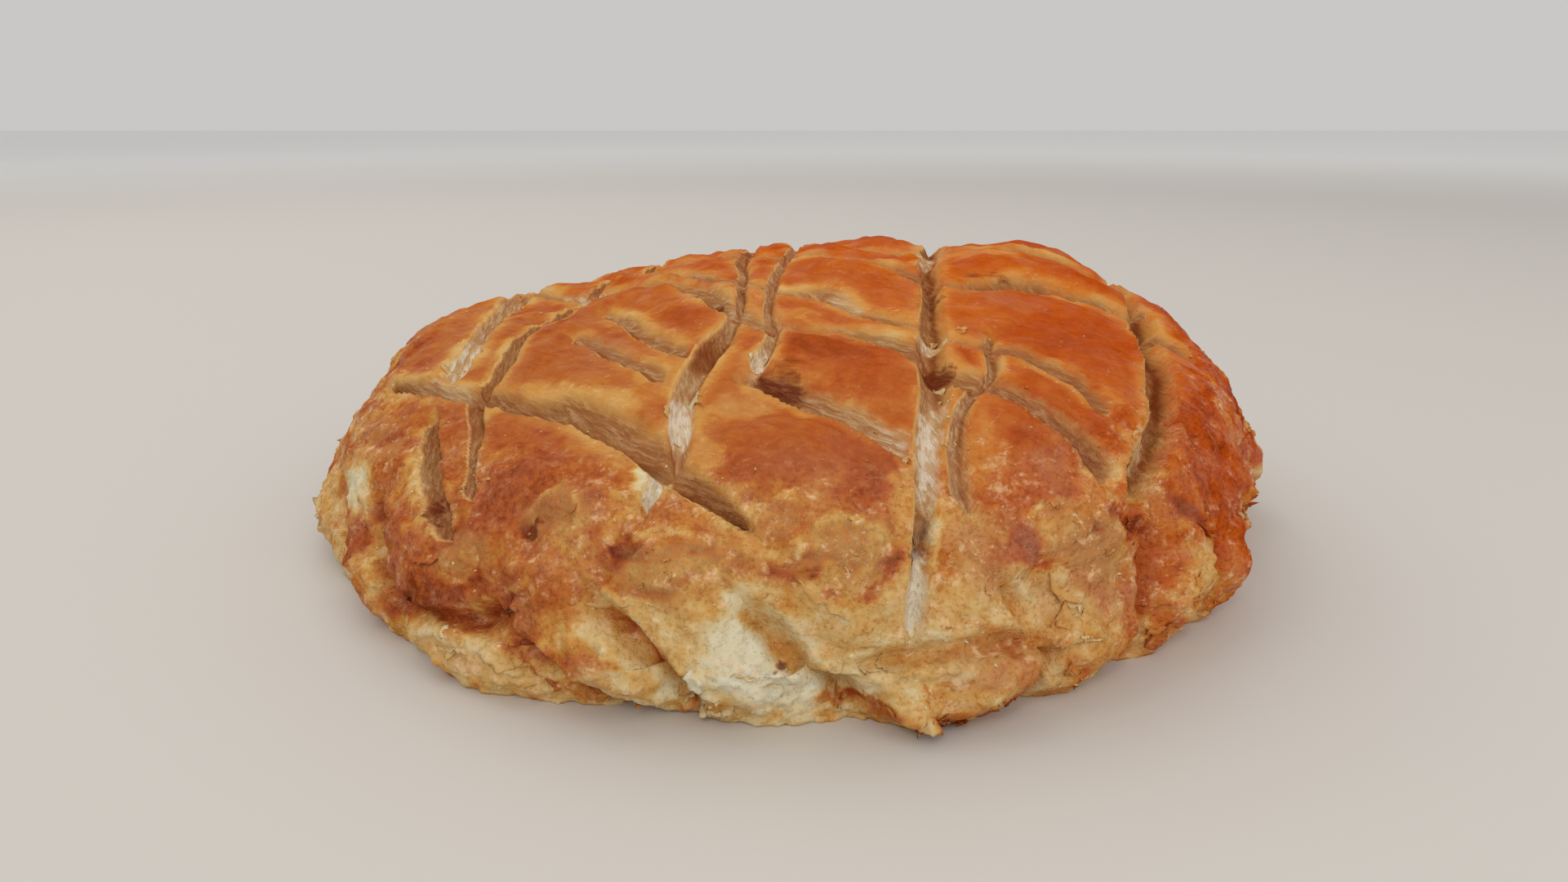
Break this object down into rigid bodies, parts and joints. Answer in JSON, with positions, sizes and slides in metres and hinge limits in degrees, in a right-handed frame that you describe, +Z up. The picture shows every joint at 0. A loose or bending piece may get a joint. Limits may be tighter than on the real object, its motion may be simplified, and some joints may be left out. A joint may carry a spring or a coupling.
{
  "type": "galette des rois",
  "caption": "Round domed puff pastry galette, whole and uncut, scored in a wide lattice, with blocks puffed between the cuts and a pinched, folded, flaky rim.",
  "frame": {"origin": "middle of the round's box on the plane that it rests on", "axes": "+Z up through the dome; -Y is the front, the side that the picture was taken from; +X is to the viewer's right"},
  "size_m": [0.2288, 0.2344, 0.0619],
  "materials": {
    "crust": "egg-washed baked puff pastry, satin on top and dry and flaky at the rim"
  },
  "bodies": {
    "root": {"galette": "crust"}
  },
  "joints": []
}
